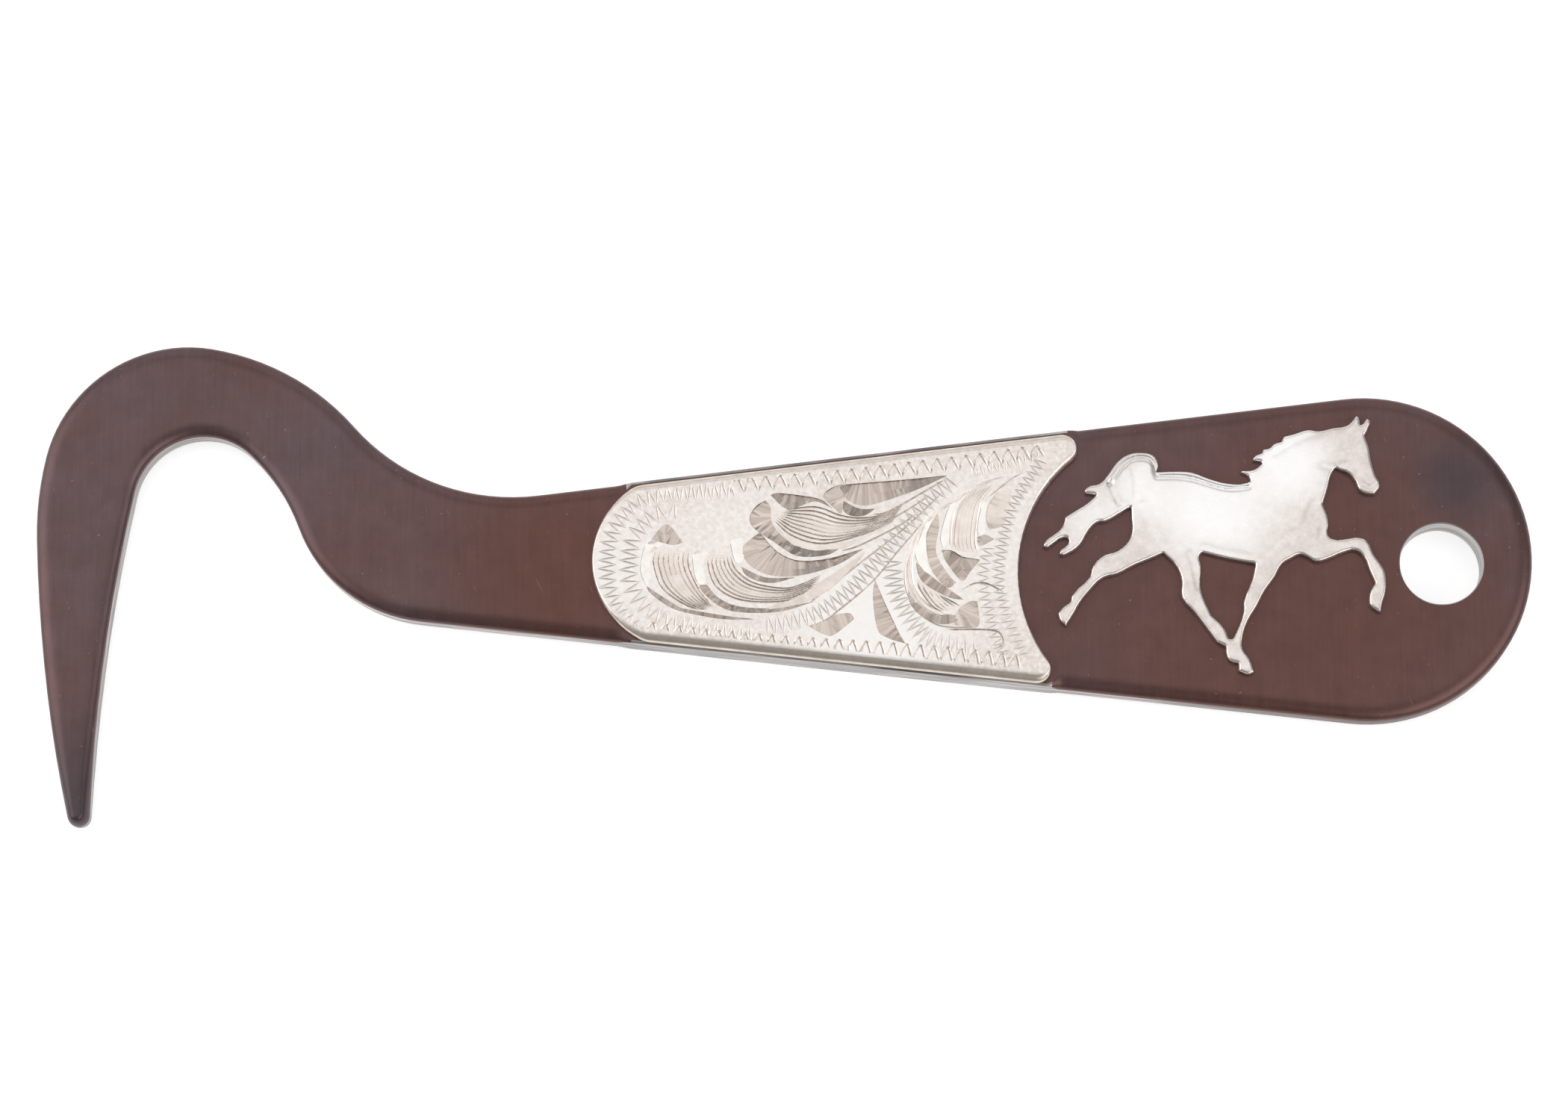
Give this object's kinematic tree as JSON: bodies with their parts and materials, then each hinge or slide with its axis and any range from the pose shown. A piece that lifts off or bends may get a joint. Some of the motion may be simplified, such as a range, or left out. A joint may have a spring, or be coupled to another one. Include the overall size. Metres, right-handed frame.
{
  "type": "hoof pick",
  "caption": "Flat steel hoof pick: curved hook, tapered handle with an engraved silver-coloured plate and a soldered trotting-horse overlay, and a hang hole.",
  "frame": {"origin": "middle of the bounding box in plan, on the pick's back face, which lies on the surface", "axes": "+X along the handle from the hook to the hang hole, +Y towards the top of the hook's arch, +Z out of the decorated face"},
  "size_m": [0.1602, 0.0524, 0.0051],
  "materials": {
    "browned_steel": "satin",
    "engraved_silver": "satin",
    "polished_silver": "polished",
    "solder": "satin"
  },
  "bodies": {
    "root": {"pick_bar": "browned_steel", "engraved_plate": "engraved_silver", "trotting_horse": "polished_silver", "plate_solder": "solder", "horse_solder": "solder"}
  },
  "joints": []
}
